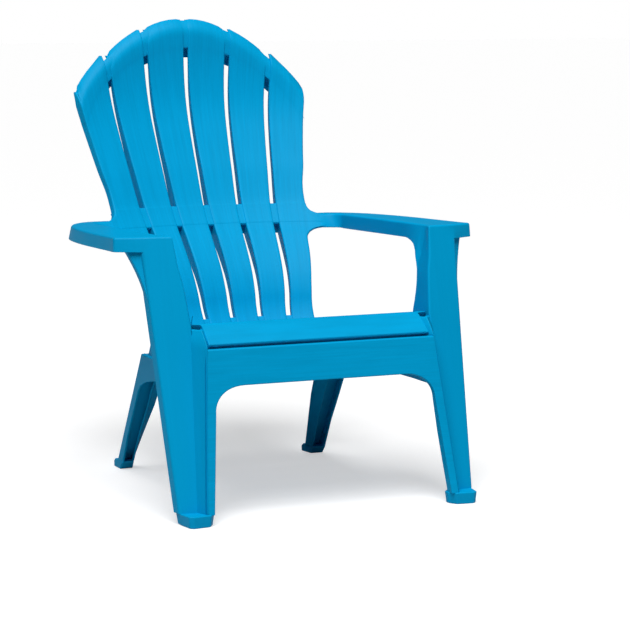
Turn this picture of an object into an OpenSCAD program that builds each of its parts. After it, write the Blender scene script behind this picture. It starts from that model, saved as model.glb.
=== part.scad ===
// Adirondack chair, moulded in one piece from coloured resin.
// The sitter looks along -Y, so the sitter's left is +X. Millimetres, +Z up.
// The origin is on the floor, under the middle of the chair's overall box.
// Every member is a node of its own, and members meet face to face.

/* [Overall] */
// Height of the crown of the back above the floor
chair_h = 938; // [880:1:1000]
// Height of the arm tops at their front edge
arm_h = 533; // [510:1:570]
// Thickness of the moulded walls
wall = 4.5; // [3:0.5:6]

/* [Seat] */
// Height of the crest at the front of the seat
seat_h = 367; // [345:1:390]
// Distance from the toes back to the crest
crest_y = 131; // [115:1:150]
// How far the seat falls from its crest to the foot of the back
seat_fall = 67; // [50:1:85]
// Distance from the toes back to the foot of the back
seat_rear_y = 545; // [510:1:580]
// Half width of the seat between the front legs
seat_half = 250; // [240:1:256]
// How far the ends of the rounded lip stand in from the front legs
lip_inset = 20; // [14:1:30]
// Distance from the toes back to where the seat starts to narrow
taper_y = 200; // [180:1:260]
// How far each side of the seat comes in at the foot of the back
seat_taper = 66; // [60:1:80]
// How far the rounded lip falls below the crest
lip_drop = 34; // [25:1:45]
// How far the rounded lip reaches in front of the crest
lip_run = 51; // [40:1:60]
// Number of cross slats behind the lip
seat_slats = 4; // [3:1:6]
// Drain gap between the cross slats
seat_gap = 9; // [5:0.5:14]
// Depth of the turned-down edges under the slats
rib_depth = 20; // [12:1:26]
// Width of the rail across the foot of the back
back_rail_w = 45; // [30:1:60]

/* [Back] */
// Number of upright slats
slats = 6; // [4:1:8]
// Sideways pitch of the slat lines for each millimetre above the fan point
fan_pitch = 0.0601; // [0.055:0.0005:0.065]
// Depth below the floor of the point that the slat lines fan out from
fan_drop = 700; // [650:5:750]
// Width of the slots between the slats
slot_w = 10; // [7:0.5:14]
// How far the waist band's lower edge is below the arm tops
waist_drop = 31; // [25:1:40]
// Height of the waist band itself
waist_band_h = 40; // [30:1:50]
// Distance from the toes back to the waist band's lower edge
waist_y = 667; // [640:1:690]
// How far the waist band leans back between its two edges
waist_lean = 30; // [20:1:36]
// How far the upper back sweeps to the rear above the waist band
back_sweep = 118; // [90:1:130]
// Radius of the back's hollow, seen from above, at the waist
back_hollow_r = 760; // [700:10:1000]
// Drop from the crown to the shoulders
shoulder_drop = 149; // [130:1:165]
// Half width of the back at the shoulders
shoulder_half = 264; // [250:1:275]
// Height of the crown rail above the tops of the slots
crown_rail_h = 66; // [50:1:80]
// Depth of the crown rail from front to rear
crown_depth = 28; // [22:1:36]
// Depth of the notches between the tips of the crown
notch_depth = 12; // [6:1:18]

/* [Arms] */
// How far the inner edge of each arm stands outside the seat
arm_out = 30; // [20:1:40]
// Greatest width of an arm
arm_w = 98; // [85:1:110]
// Length of an arm from front to rear
arm_l = 515; // [490:1:530]
// Depth of the skirt round each arm
skirt_h = 27; // [20:1:35]
// Downward slope of the arms towards the rear, in degrees
arm_slope = 1.8; // [0:0.1:3]

/* [Front legs] */
// Distance from the toes back to the leg face at the floor
leg_y = 27; // [20:1:35]
// Backward lean of the leg face for each millimetre of height
leg_lean = 0.26; // [0.22:0.01:0.3]
// Backward turn of the leg face for each millimetre outwards
leg_turn = 0.15; // [0.1:0.01:0.2]
// Width of the leg face at the floor, measured from the side of the seat
leg_w = 57; // [45:1:70]
// Outward lean of the outer corner for each millimetre of height
leg_flare = 0.047; // [0.03:0.001:0.06]
// Depth at the seat of the wall that faces the sitter
leg_inner_depth = 82; // [60:1:95]
// Depth of the outer flange
flange_depth = 22; // [15:1:30]
// Height of the foot block
foot_h = 23; // [18:1:30]

/* [Apron and rails] */
// Gap from the crest of the seat down to the top edge of the apron
apron_drop = 42; // [38:1:54]
// Height of the apron over the middle of the arch
apron_h = 69; // [55:1:80]
// Radius across the corners of the arch
arch_corner = 62; // [40:1:80]
// Distance from the toes back to the foot of the apron's face
apron_start = 3; // [0:0.5:6]
// Backward lean of the apron for each millimetre of height
apron_lean = 0.21; // [0.18:0.01:0.24]
// How far the ledge along the side rails is above the arch
ledge_rise = 8; // [4:1:14]
// How far the outside of the side rails stands in from the front legs
rail_inset = 18; // [12:1:24]
// Height of the side rails at the front legs
rail_h = 34; // [25:1:45]

/* [Rear legs] */
// Distance from the toes back to the rear face at the floor
rear_y = 632; // [600:1:660]
// Forward lean of the rear face for each millimetre of height
rear_lean = 0.63; // [0.55:0.01:0.7]
// Distance from the rear face forward to the leg's open front at the floor
rear_leg_d = 34; // [28:1:45]
// Forward lean of the open front for each millimetre of height
rear_open_lean = 0.57; // [0.5:0.01:0.62]
// Width of a rear leg at the floor
rear_leg_w = 33; // [26:1:40]
// How much wider a rear leg is at half its height
rear_leg_widens = 25; // [10:1:35]
// Height of the rear foot block
rear_foot_h = 18; // [12:1:24]

/* [Hidden] */
$fn = 48;

resin = "deepskyblue";
far = 1000;

// Heights and widths that follow from the sizes above
seat_rear_h = seat_h - seat_fall;
seat_half_rear = seat_half - seat_taper;
lip_half = seat_half - lip_inset;
arch_half = lip_half;
arm_inner = seat_half + arm_out;
leg_outer = seat_half + leg_w;
rail_half = seat_half - rail_inset;
apron_top = seat_h - apron_drop;
arch_h = apron_top - apron_h;
ledge_h = arch_h + ledge_rise;
waist_h = arm_h - waist_drop;
waist_top = waist_h + waist_band_h;
waist_top_y = waist_y + waist_lean;
crown_y = waist_top_y + back_sweep;
depth = crown_y + crown_depth;
hollow_axis = waist_y - back_hollow_r;
edge_pitch = shoulder_half / (chair_h - shoulder_drop + fan_drop);
crown_r = (shoulder_half^2 + shoulder_drop^2) / (2 * shoulder_drop);
crown_mid = chair_h - crown_r;
slot_top = chair_h - crown_rail_h;
slot_top_r = shoulder_half + 14;
slot_top_mid = slot_top - slot_top_r;
lumbar_bow = 0.31;
upright_share = 0.78;
lumbar_steps = 6;
wing_inset = 54;
wing_chamfer = 9;
wing = arm_inner - wing_inset;

// --- Small helpers -------------------------------------------------------

function unit(v) = v / norm(v);
function left_of(v) = [-v[1], v[0]];
function reversed(p) = [for (i = [len(p) - 1:-1:0]) p[i]];

// A closed outline, counter-clockwise, with each side moved inwards by d
function inset(p, d) = let (n = len(p)) [
    for (i = [0:n - 1])
        let (a = left_of(unit(p[i] - p[(i + n - 1) % n])),
             b = left_of(unit(p[(i + 1) % n] - p[i])))
        p[i] + (a + b) * d / (1 + a * b)
];

// An open line given thickness t on its left, as a closed outline
function thick(p, t) = let (n = len(p), moved = [
    for (i = [0:n - 1])
        let (a = left_of(unit(i > 0 ? p[i] - p[i - 1] : p[1] - p[0])),
             b = left_of(unit(i < n - 1 ? p[i + 1] - p[i] : p[i] - p[i - 1])))
        p[i] + (a + b) * t / (1 + a * b)
]) concat(p, reversed(moved));

// Points along a quarter or part of an ellipse
function bend(mid, size, from, to, steps) = [
    for (i = [0:steps])
        let (a = from + (to - from) * i / steps)
        mid + [size[0] * cos(a), size[1] * sin(a)]
];

// Moves the model from the toe line to its origin
module placed() {
    translate([0, -depth / 2, 0]) children();
}

// Draws the left-hand member, or its mirror image on the right
module on_side(hand) {
    mirror([hand == "right" ? 1 : 0, 0, 0]) children();
}

// An outline in X and Z, drawn right through the chair from front to rear
module through(outline) {
    translate([0, far, 0]) rotate([90, 0, 0]) linear_extrude(far) polygon(outline);
}

// An outline in Y and Z, extruded along X between two places
module across(outline, x0, x1) {
    translate([x0, 0, 0]) rotate([90, 0, 90]) linear_extrude(x1 - x0) polygon(outline);
}

// A wall between the edge lines a and b, moved along v to give it its thickness
// Both of its faces are split along the same diagonals, so that it stays even where it twists
module ribbon(a, b, v) {
    n = len(a);
    turn = cross(b[0] - a[0], a[1] - a[0]) * v > 0;
    moved = [for (p = concat(a, b)) p + v];
    quads = concat(
        [for (i = [0:n - 2]) [i, i + 1, n + i + 1, n + i]],
        [for (i = [0:n - 2]) [3 * n + i + 1, 2 * n + i + 1, 2 * n + i, 3 * n + i]],
        [for (i = [0:n - 2]) [2 * n + i, 2 * n + i + 1, i + 1, i]],
        [for (i = [0:n - 2]) [n + i, n + i + 1, 3 * n + i + 1, 3 * n + i]],
        [[0, n, 3 * n, 2 * n], [2 * n - 1, n - 1, 3 * n - 1, 4 * n - 1]]);
    faces = [for (q = quads) for (t = [[q[0], q[1], q[2]], [q[0], q[2], q[3]]]) turn ? reversed(t) : t];
    polyhedron(points = concat(a, b, moved), faces = faces);
}

// --- The back ------------------------------------------------------------

// Front surface of the back at the middle of the chair, as a distance from the toes
function back_y(z) =
    z < waist_h
        ? let (t = (z - seat_rear_h) / (waist_h - seat_rear_h))
          seat_rear_y + (waist_y - seat_rear_y) * (lumbar_bow * t + (1 - lumbar_bow) * t^2)
        : z < waist_top
            ? waist_y + waist_lean * (z - waist_h) / waist_band_h
            : let (t = (z - waist_top) / (chair_h - waist_top))
              waist_top_y + back_sweep * sin(90 * min(1, t / upright_share));

function levels(z0, z1, steps) = [for (i = [0:steps]) z0 + (z1 - z0) * i / steps];

// A hollow sheet that follows the back between two heights, from depth d0 to depth d1
module back_sheet(z0, z1, d0, d1, steps) {
    margin = 3;
    spread = margin + max(asin(wing / back_hollow_r), asin(shoulder_half / (crown_y - hollow_axis)));
    zs = levels(z0, z1, steps);
    line = [for (z = zs) [back_y(z) - hollow_axis, z]];
    section = concat([for (p = reversed(line)) p + [d0, 0]], [for (p = line) p + [d1, 0]]);
    translate([0, hollow_axis, 0])
        rotate([0, 0, 90 - spread])
            rotate_extrude(angle = 2 * spread) polygon(section);
}

// Part of the back that stands inside an outline, with its edges turned to the rear
module back_member(outline, pocket, z0, z1, deep, steps) {
    difference() {
        intersection() {
            back_sheet(z0, z1, 0, deep, steps);
            through(outline);
        }
        intersection() {
            back_sheet(z0 - 1, z1 + 1, wall, deep + 1, steps);
            through(pocket);
        }
    }
}

// Where the line between slat i and slat i + 1 stands at a height
function fan_x(i, z) =
    let (k = i - slats / 2)
    (i == 0 || i == slats ? sign(k) * edge_pitch : k * fan_pitch) * (z + fan_drop);

function slot_top_z(x) = slot_top_mid + sqrt(slot_top_r^2 - x^2);
function crown_z(x) = crown_mid + sqrt(crown_r^2 - x^2);

// Height at which a slat line reaches the curve through the slot tops
function meet(i, side, z = 800, turns = 16) =
    turns == 0 ? z : meet(i, side, slot_top_z(fan_x(i, z) + side), turns - 1);

function slot_side(i) = i == 0 || i == slats ? 0 : slot_w / 2;

// Top edge of slat i, from its right to its left as the sitter has them
function slat_top(i, d = 0) =
    let (a = slot_side(i - 1) + d,
         b = -slot_side(i) - d,
         xa = fan_x(i - 1, meet(i - 1, a)) + a,
         xb = fan_x(i, meet(i, b)) + b)
    [for (x = levels(xa, xb, 4)) [x, slot_top_z(x)]];

function upper_outline(i, d = 0) =
    concat([[fan_x(i - 1, waist_top) + slot_side(i - 1) + d, waist_top],
            [fan_x(i, waist_top) - slot_side(i) - d, waist_top]],
           reversed(slat_top(i, d)));

module back_slat(i) {
    color(resin) placed()
        back_member(upper_outline(i), upper_outline(i, wall), waist_top, slot_top, rib_depth, 8);
}

function lower_outline(i, d = 0) =
    let (a = slot_side(i - 1) + d, b = -slot_side(i) - d, z0 = seat_rear_h)
    [[fan_x(i - 1, z0) + a, z0], [fan_x(i, z0) + b, z0],
     [fan_x(i, waist_h) + b, waist_h], [fan_x(i - 1, waist_h) + a, waist_h]];

module lumbar_slat(i) {
    color(resin) placed()
        back_member(lower_outline(i), lower_outline(i, wall), seat_rear_h, waist_h, rib_depth, lumbar_steps);
}

module waist_band() {
    edge = fan_x(slats, waist_top);
    low = waist_h - wing_chamfer;
    high = waist_top - wing_chamfer;
    outline = [[-wing, low], [-wing + wing_chamfer, waist_h], [wing - wing_chamfer, waist_h], [wing, low],
               [wing, high], [edge, waist_top], [-edge, waist_top], [-wing, high]];
    color(resin) placed()
        back_member(outline, inset(outline, wall), low, waist_top, rib_depth, 1);
}

module crown_rail() {
    steps = 16;
    low_z = meet(slats, 0);
    outline = concat(
        [for (i = [1:slats]) for (p = slat_top(i)) p],
        [for (x = levels(shoulder_half, -shoulder_half, steps)) [x, crown_z(x)]]);
    color(resin) placed()
        difference() {
            back_member(outline, inset(outline, wall), low_z, chair_h, crown_depth, 8);
            for (i = [1:slats - 1])
                let (x = fan_x(i, chair_h), z = crown_z(x))
                translate([x, 0, z])
                    rotate([0, atan((i - slats / 2) * fan_pitch), 0])
                        translate([-slot_w / 2, 0, -notch_depth]) cube([slot_w, far, 2 * notch_depth]);
        }
}

// --- The seat ------------------------------------------------------------

function seat_z(y) = seat_h - (y - crest_y) * seat_fall / (seat_rear_y - crest_y);
function seat_x(y) = seat_half - max(0, y - taper_y) * seat_taper / (seat_rear_y - taper_y);

// Seat boards stop at the tapering sides of the seat
module seat_plan() {
    side = [for (y = [crest_y, taper_y, seat_rear_y]) [seat_x(y), y]];
    linear_extrude(far) polygon(concat(side, reversed([for (p = side) [-p[0], p[1]]])));
}

// A cross board between y0 and y1, with its two long edges turned down
module seat_board(y0, y1) {
    section = [[y0, seat_z(y0)], [y0, seat_z(y0) - rib_depth], [y0 + wall, seat_z(y0) - rib_depth],
               [y0 + wall, seat_z(y0) - wall], [y1 - wall, seat_z(y1) - wall],
               [y1 - wall, seat_z(y1) - rib_depth], [y1, seat_z(y1) - rib_depth], [y1, seat_z(y1)]];
    color(resin) placed()
        intersection() {
            across(section, -seat_half, seat_half);
            seat_plan();
        }
}

lip_depth = 25;
lip_rear = crest_y + lip_depth;
back_rail_front = seat_rear_y - back_rail_w;
slat_room = (back_rail_front - lip_rear) / seat_slats - seat_gap;

module seat_slat(i) {
    y0 = lip_rear + (i - 1) * (slat_room + seat_gap);
    seat_board(y0, y0 + slat_room);
}

module lumbar_sheet() {
    back_sheet(seat_rear_h, waist_h, 0, rib_depth, lumbar_steps);
}

module back_seat_rail() {
    difference() {
        seat_board(back_rail_front, seat_rear_y);
        placed() lumbar_sheet();
    }
    hang = seat_rear_h - rib_depth;
    color(resin) placed()
        intersection() {
            across([[seat_rear_y, hang], [seat_rear_y + rib_depth, hang],
                    [seat_rear_y + rib_depth, seat_rear_h], [seat_rear_y, seat_rear_h]],
                   -seat_half_rear, seat_half_rear);
            translate([-far / 2, seat_rear_y, 0]) cube([far, rib_depth, far]);
        }
}

module seat_front_slat() {
    // The lip's curve, as shares of its run and of its drop
    shares = [[0, 0], [0.3, 0.15], [0.65, 0.5], [1, 1]];
    line = concat([[lip_rear, seat_z(lip_rear)]],
                  [for (s = shares) [crest_y - lip_run * s[0], seat_h - lip_drop * s[1]]]);
    color(resin) placed()
        across(thick(line, wall), -lip_half, lip_half);
}

// --- The apron and the front legs ----------------------------------------

leg_mid = seat_half + 10;
pinch_z = seat_h - 12;
pinch_out = 0.111;
splay_out = 0.06;
arch_splay = 0.086;
arch_leg_z = arch_h - 52;
leg_top = arm_h - skirt_h;
strip_top = seat_h - 20;

function apron_y(z) = apron_start + apron_lean * z;
function face_y(x, z) = leg_y + leg_lean * z + leg_turn * (x - leg_mid);
function outer_x(z) = leg_outer + leg_flare * z;

// Inner edge of the leg face: it runs in to the seat and out again below it
function inner_x(z) = seat_half + (z > pinch_z ? pinch_out * (z - pinch_z) : splay_out * (pinch_z - z));

// Edge of the big arch, which carries on down the leg to the foot
function arch_x(z) = arch_half + arch_splay * max(0, arch_leg_z - z);

function face_point(x, z) = [x, face_y(x, z), z];

module apron() {
    corner = [arch_corner, arch_h - arch_leg_z];
    right = bend([arch_half - corner[0], arch_leg_z], corner, 0, 90, 8);
    outline = concat(
        [[-arch_half, apron_top]],
        reversed([for (p = reversed(right)) [-p[0], p[1]]]),
        [for (p = reversed(right)) p],
        [[arch_half, apron_top]]);
    tilt = atan(apron_lean);
    color(resin) placed()
        intersection() {
            translate([0, apron_y(0), 0]) rotate([-tilt, 0, 0]) rotate([90, 0, 0])
                translate([0, 0, -wall]) linear_extrude(wall)
                    polygon([for (p = outline) [p[0], p[1] / cos(tilt)]]);
            translate([-far / 2, 0, 0]) cube([far, far, apron_top]);
        }
}

module front_leg_face() {
    zs = [foot_h, strip_top, leg_top];
    color(resin)
        ribbon([for (z = zs) face_point(inner_x(z), z)], [for (z = zs) face_point(outer_x(z), z)],
               [0, wall, 0]);
}

module front_leg_flange() {
    brace_h = 83;
    zs = [foot_h, leg_top - brace_h, leg_top - brace_h * 0.42, leg_top];
    out = [0, 0, 12, 23];
    near = [for (z = zs) face_point(outer_x(z), z) + [0, wall, 0]];
    edge = [for (i = [0:3]) near[i] + [out[i], flange_depth - wall, 0]];
    color(resin) ribbon(near, edge, [-wall, 0, 0]);
}

module front_leg_inner() {
    zs = [for (share = [0, 0.3, 0.6, 0.88, 1]) strip_top + share * (leg_top - strip_top)];
    deep = [for (share = [1, 0.75, 0.62, 0.75, 0.98]) leg_inner_depth * share];
    near = [for (z = zs) face_point(inner_x(z), z) + [0, wall, 0]];
    edge = [for (i = [0:4]) near[i] + [0, deep[i] - wall, 0]];
    color(resin) ribbon(near, edge, [wall, 0, 0]);
}

module leg_strip() {
    zs = [foot_h, arch_leg_z, strip_top];
    color(resin)
        ribbon([for (z = zs) [arch_x(z), apron_y(z), z]],
               [for (z = zs) face_point(inner_x(z), z)], [0, wall, 0]);
}

// The toe block runs from the strip round the front to the outer corner of the leg
module front_foot() {
    in = seat_half - 6;
    out = leg_outer;
    bevel = 14;
    depth = 66;
    plan = [[in, bevel + 4], [in + bevel, 0], [out - bevel, 2], [out - 4, 8], [out, 44], [out, depth],
            [in + 2 * bevel, depth], [in, depth / 2]];
    color(resin) linear_extrude(foot_h) polygon(plan);
}

// --- The side rails and the rear legs ------------------------------------

function rear_face_y(z) = rear_y - rear_lean * z;
function open_front_y(z) = rear_y - rear_leg_d - rear_open_lean * z;
rail_end = rear_face_y(ledge_h) - 25;
rail_bend = rail_end - 62;
rear_leg_top = seat_z(rear_face_y(ledge_h)) - rib_depth;
rear_leg_mid = 150;
rail_clearance = 3;
apron_back = apron_y(ledge_h) + wall + rail_clearance;
rail_drop = rail_h + 21;

module side_rail() {
    bend_drop = 8;
    outline = [[apron_back, ledge_h - rail_h], [rail_bend, ledge_h - rail_h - bend_drop],
               [rail_end, ledge_h - rail_drop], [rail_end, ledge_h], [apron_back, ledge_h]];
    color(resin) across(outline, rail_half - wall, rail_half);
}

// The wall under each side of the seat. It stands on the rail as far as the rail's
// end, and behind that its lower edge turns in and up.
module seat_side() {
    front = face_y(inner_x(strip_top), strip_top) + leg_inner_depth;
    turn_in = 22;
    turn_up = 6;
    ys = [front, rail_end, seat_rear_y - 30];
    low_x = rail_half - wall;
    low = [[low_x, front, ledge_h], [low_x, rail_end, ledge_h],
           [rail_half - turn_in, seat_rear_y - 30, ledge_h + turn_up]];
    color(resin) ribbon([for (y = ys) [seat_x(y), y, seat_z(y)]], low, [wall, 0, 0]);
}

module rear_leg_outer() {
    low = ledge_h - rail_drop;
    outline = [[open_front_y(rear_foot_h), rear_foot_h], [rear_face_y(rear_foot_h), rear_foot_h],
               [rear_face_y(ledge_h), ledge_h], [rail_end, ledge_h], [rail_end, low],
               [rail_end + 34, low - 13], [open_front_y(low - 29), low - 29]];
    color(resin) across(outline, rail_half - wall, rail_half);
}

// Heights up a rear leg, and the width of its rear and of its open front at each
rear_leg_zs = [rear_foot_h, rear_leg_mid, rear_leg_top];
rear_widths = [rear_leg_w, rear_leg_w + rear_leg_widens, rear_leg_w + rear_leg_widens + 8];
front_widths = [rear_leg_w - 6, rear_leg_w, rear_leg_w + 3];

// The corner between the rear and the inner wall of a rear leg
rear_leg_corner = [for (i = [0:2])
    [rail_half - rear_widths[i], rear_face_y(rear_leg_zs[i]) - wall, rear_leg_zs[i]]];

module rear_leg_back() {
    color(resin)
        ribbon([for (z = rear_leg_zs) [rail_half - wall, rear_face_y(z) - wall, z]], rear_leg_corner,
               [0, wall, 0]);
}

module rear_leg_inner() {
    setback = 6;
    color(resin)
        ribbon(rear_leg_corner,
               [for (i = [0:2])
                   [rail_half - front_widths[i], open_front_y(rear_leg_zs[i]) + setback, rear_leg_zs[i]]],
               [-wall, 0, 0]);
}

module rear_foot() {
    front = open_front_y(rear_foot_h);
    heel = rear_y + 18;
    ease = 4;
    outline = [[front + 14, 0], [heel - 2, 0], [heel, rear_foot_h - ease], [heel - 10, rear_foot_h],
               [front, rear_foot_h]];
    color(resin) across(outline, rail_half - rear_leg_w - wall, rail_half + 2);
}

// --- The arms ------------------------------------------------------------

// The arm seen from above, counter-clockwise from the front inner corner. Its widest
// place is behind the front corner, and it rounds in to the wing of the waist band.
arm_outline = let (x0 = arm_inner, x1 = arm_inner + arm_w, in = inner_x(leg_top), out = outer_x(leg_top),
                   y0 = face_y(in, leg_top), y1 = y0 + arm_l)
    [[in, y0], [out, face_y(out, leg_top)], [x1 - 5, y0 + 34], [x1, y0 + 42], [x1 - 7, y0 + 200],
     [x1 - 13, y1 - 235], [x1 - 27, y1 - 127], [x1 - 50, y1 - 57], [x1 - 78, y1 - 22], [x1 - 110, y1 - 6],
     [wing, y1], [wing, y1 - 37], [x0 - 24, y1 - 46], [x0 - 6, y1 - 66], [x0, y1 - 92], [x0, y0 + 40]];

module arm() {
    front = arm_outline[0];
    color(resin)
        translate([0, front[1], arm_h]) rotate([-arm_slope, 0, 0]) translate([0, -front[1], 0])
            difference() {
                translate([0, 0, -skirt_h]) linear_extrude(skirt_h) polygon(arm_outline);
                translate([0, 0, -skirt_h - 1]) linear_extrude(skirt_h + 1 - wall)
                    polygon(inset(arm_outline, wall));
            }
}

// --- The nodes -----------------------------------------------------------

crown_rail();
waist_band();
back_seat_rail();
seat_front_slat();
apron();
for (i = [1:slats]) back_slat(i);
for (i = [1:slats]) lumbar_slat(i);
for (i = [1:seat_slats]) seat_slat(i);
for (hand = ["left", "right"]) {
    placed() on_side(hand) arm();
    placed() on_side(hand) front_leg_face();
    placed() on_side(hand) front_leg_flange();
    placed() on_side(hand) front_leg_inner();
    placed() on_side(hand) leg_strip();
    placed() on_side(hand) front_foot();
    placed() on_side(hand) side_rail();
    placed() on_side(hand) seat_side();
    placed() on_side(hand) rear_leg_outer();
    placed() on_side(hand) rear_leg_back();
    placed() on_side(hand) rear_leg_inner();
    placed() on_side(hand) rear_foot();
}
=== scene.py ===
import math

import bmesh
import bpy
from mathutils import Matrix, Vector


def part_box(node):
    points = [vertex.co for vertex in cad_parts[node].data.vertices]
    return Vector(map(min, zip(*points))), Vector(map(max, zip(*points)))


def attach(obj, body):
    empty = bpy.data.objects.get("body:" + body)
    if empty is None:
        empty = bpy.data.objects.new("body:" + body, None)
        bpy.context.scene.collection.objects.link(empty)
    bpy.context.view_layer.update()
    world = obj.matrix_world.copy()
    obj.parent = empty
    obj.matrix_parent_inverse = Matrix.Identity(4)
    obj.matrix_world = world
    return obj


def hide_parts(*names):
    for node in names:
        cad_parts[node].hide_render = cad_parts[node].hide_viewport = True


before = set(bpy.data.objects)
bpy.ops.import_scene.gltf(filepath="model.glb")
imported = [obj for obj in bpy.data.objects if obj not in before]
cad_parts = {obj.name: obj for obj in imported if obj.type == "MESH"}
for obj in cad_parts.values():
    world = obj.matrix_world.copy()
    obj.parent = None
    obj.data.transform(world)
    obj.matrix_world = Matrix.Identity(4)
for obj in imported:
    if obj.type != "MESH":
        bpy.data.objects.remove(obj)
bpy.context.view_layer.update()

# --- Sizes ------------------------------------------------------------------
# Lengths are in millimetres. Y is measured back from the toes, so the toe line
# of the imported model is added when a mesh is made.

MM = 0.001
# Each side of the chair, and whether it mirrors the shapes, which are drawn for the left one
HANDS = (("left", False), ("right", True))
TOE = min(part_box(f"front_foot_{hand}")[0].y for hand, _ in HANDS)


def top(node):
    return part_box(node)[1].z / MM


def low(node):
    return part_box(node)[0].z / MM


WALL = 4.2
CROWN = top("crown_rail")
ARM_TOP = top("arm_left")
SEAT = top("seat_front_slat")
SEAT_REAR = low("lumbar_slat_3")
WAIST = top("lumbar_slat_3")
WAIST_TOP = top("waist_band")
APRON_TOP = top("apron")
FOOT = top("front_foot_left")
LEDGE = top("side_rail_left")
RAIL_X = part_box("side_rail_left")[1].x / MM
REAR_FOOT = top("rear_foot_left")

# The fan lines of the back meet this far below the floor, and each leans out by this much more
FAN_DROP = 700.0
FAN_PITCH = 0.0601
# Fan line of the outer edges, counted from the middle of the chair
EDGE_LINE = 2.95
# Radius of the hollow of the back, and how far back its waist lies
HOLLOW = 760.0
WAIST_Y = 667.0


# --- Node maths -------------------------------------------------------------

class Value:
    """A socket whose sums and products become Math nodes."""

    def __init__(self, net, socket):
        self.net = net
        self.socket = socket

    def maths(self, operation, *others):
        inputs = dict(enumerate((self, *others)))
        return self.net.value("ShaderNodeMath", {"operation": operation}, inputs)

    def __add__(self, other):
        return self.maths("ADD", other)

    __radd__ = __add__

    def __sub__(self, other):
        return self.maths("SUBTRACT", other)

    def __rsub__(self, other):
        return (self * -1.0).maths("ADD", other)

    def __mul__(self, other):
        return self.maths("MULTIPLY", other)

    __rmul__ = __mul__

    def __truediv__(self, other):
        return self.maths("DIVIDE", other)

    def __pow__(self, other):
        return self.maths("POWER", other)

    def root(self):
        return self.maths("SQRT")

    def size(self):
        return self.maths("ABSOLUTE")

    def least(self, other):
        return self.maths("MINIMUM", other)

    def most(self, other):
        return self.maths("MAXIMUM", other)

    def over(self, other):
        return self.maths("GREATER_THAN", other)


class Net:
    """A node tree in which one method makes every node."""

    def __init__(self, tree):
        self.tree = tree

    def node(self, kind, settings=None, inputs=None):
        made = self.tree.nodes.new(kind)
        for key, setting in (settings or {}).items():
            setattr(made, key, setting)
        for key, given in (inputs or {}).items():
            if isinstance(given, Value):
                self.tree.links.new(given.socket, made.inputs[key])
            else:
                made.inputs[key].default_value = given
        return made

    def value(self, kind, settings=None, inputs=None, output=0):
        return Value(self, self.node(kind, settings, inputs).outputs[output])


def limited(value, lowest=0.0, highest=1.0):
    """The value kept between two limits, for a number or a socket."""
    if isinstance(value, Value):
        return value.most(lowest).least(highest)
    return min(max(value, lowest), highest)


def rooted(value):
    return value.root() if isinstance(value, Value) else math.sqrt(value)


def between(a, b, share):
    return a + (b - a) * share


# --- The shape of the back --------------------------------------------------

# Each list of points below is read over these heights, and gives sizes between its own limits
CURVE_LOW, CURVE_HIGH = 280.0, 940.0
PROFILE_LOW, PROFILE_HIGH = 500.0, 830.0
# Heights and depths of the front of the back along the middle of the chair
PROFILE = [
    (280, 512), (305, 533), (318, 542), (332, 550), (345, 556), (362, 562), (385, 573), (410, 588),
    (435, 607), (475, 642), (502, 667), (542, 697), (580, 718), (614, 735), (650, 754), (689, 773),
    (725, 789), (761, 801), (795, 808), (830, 812), (873, 814), (940, 815),
]
EDGE_LOW, EDGE_HIGH = 160.0, 280.0
# Heights and half widths of the outer edges of the back
EDGE = [
    (280, 176), (310, 174), (325, 174.5), (345, 176), (375, 180), (405, 186), (435, 193), (455, 197),
    (466, 199), (474, 201), (480, 205), (486, 212.5), (490.5, 224), (494, 242), (496, 249),
    (517, 249), (519, 240), (522.5, 230), (528, 222.5), (535, 219), (546, 218),
    (628, 232), (728, 251), (789, 263), (940, 291),
]
SIDE_LOW, SIDE_HIGH = 0.0, 40.0
# Heights and depths of the turned-back sides of the boards along the slots
SIDE = [
    (280, 13), (345, 16), (400, 20), (450, 26), (500, 30), (550, 27), (620, 22), (700, 17.5),
    (780, 12.5), (850, 7), (940, 6),
]


def curve_node(net, height, points, lowest, highest):
    """A Float Curve that follows given points, read at a height."""
    share = (height - CURVE_LOW) / (CURVE_HIGH - CURVE_LOW)
    made = net.node("ShaderNodeFloatCurve", None, {"Value": share} if isinstance(share, Value) else None)
    curve = made.mapping.curves[0]
    places = [((z - CURVE_LOW) / (CURVE_HIGH - CURVE_LOW), (size - lowest) / (highest - lowest))
              for z, size in points]
    curve.points[0].location = places[0]
    curve.points[1].location = places[-1]
    for place in places[1:-1]:
        curve.points.new(*place)
    made.mapping.update()
    return made


def smooth_line(points):
    """A function that follows points smoothly, without overshooting between them."""
    xs = [float(p[0]) for p in points]
    ys = [float(p[1]) for p in points]
    rise = [(ys[i + 1] - ys[i]) / (xs[i + 1] - xs[i]) for i in range(len(xs) - 1)]
    slopes = [rise[0]]
    for i in range(1, len(xs) - 1):
        a, b = rise[i - 1], rise[i]
        slopes.append(0.0 if a * b <= 0 else 2 * a * b / (a + b))
    slopes.append(rise[-1])

    def at(x):
        x = limited(x, xs[0], xs[-1])
        i = max(k for k in range(len(xs) - 1) if xs[k] <= x or k == 0)
        span = xs[i + 1] - xs[i]
        t = (x - xs[i]) / span
        return ((2 * t**3 - 3 * t**2 + 1) * ys[i] + (t**3 - 2 * t**2 + t) * span * slopes[i]
                + (3 * t**2 - 2 * t**3) * ys[i + 1] + (t**3 - t**2) * span * slopes[i + 1])
    return at


back_profile = smooth_line(PROFILE)

# The arcs on which the slots end and the crown lies
SLOT_TOP = CROWN - 66.0
SLOT_TOP_R = 278.0
CROWN_R = 308.0
CROWN_SET = 2.0
GABLE = 2.6
# The rim of the crown rolls to the rear over this height, by this much and on this curve
ROLL_RUN = 34.0
ROLL_BACK = 19.0
ROLL_CURVE = 2.2
ROLL_MOST = 1.6


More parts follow.
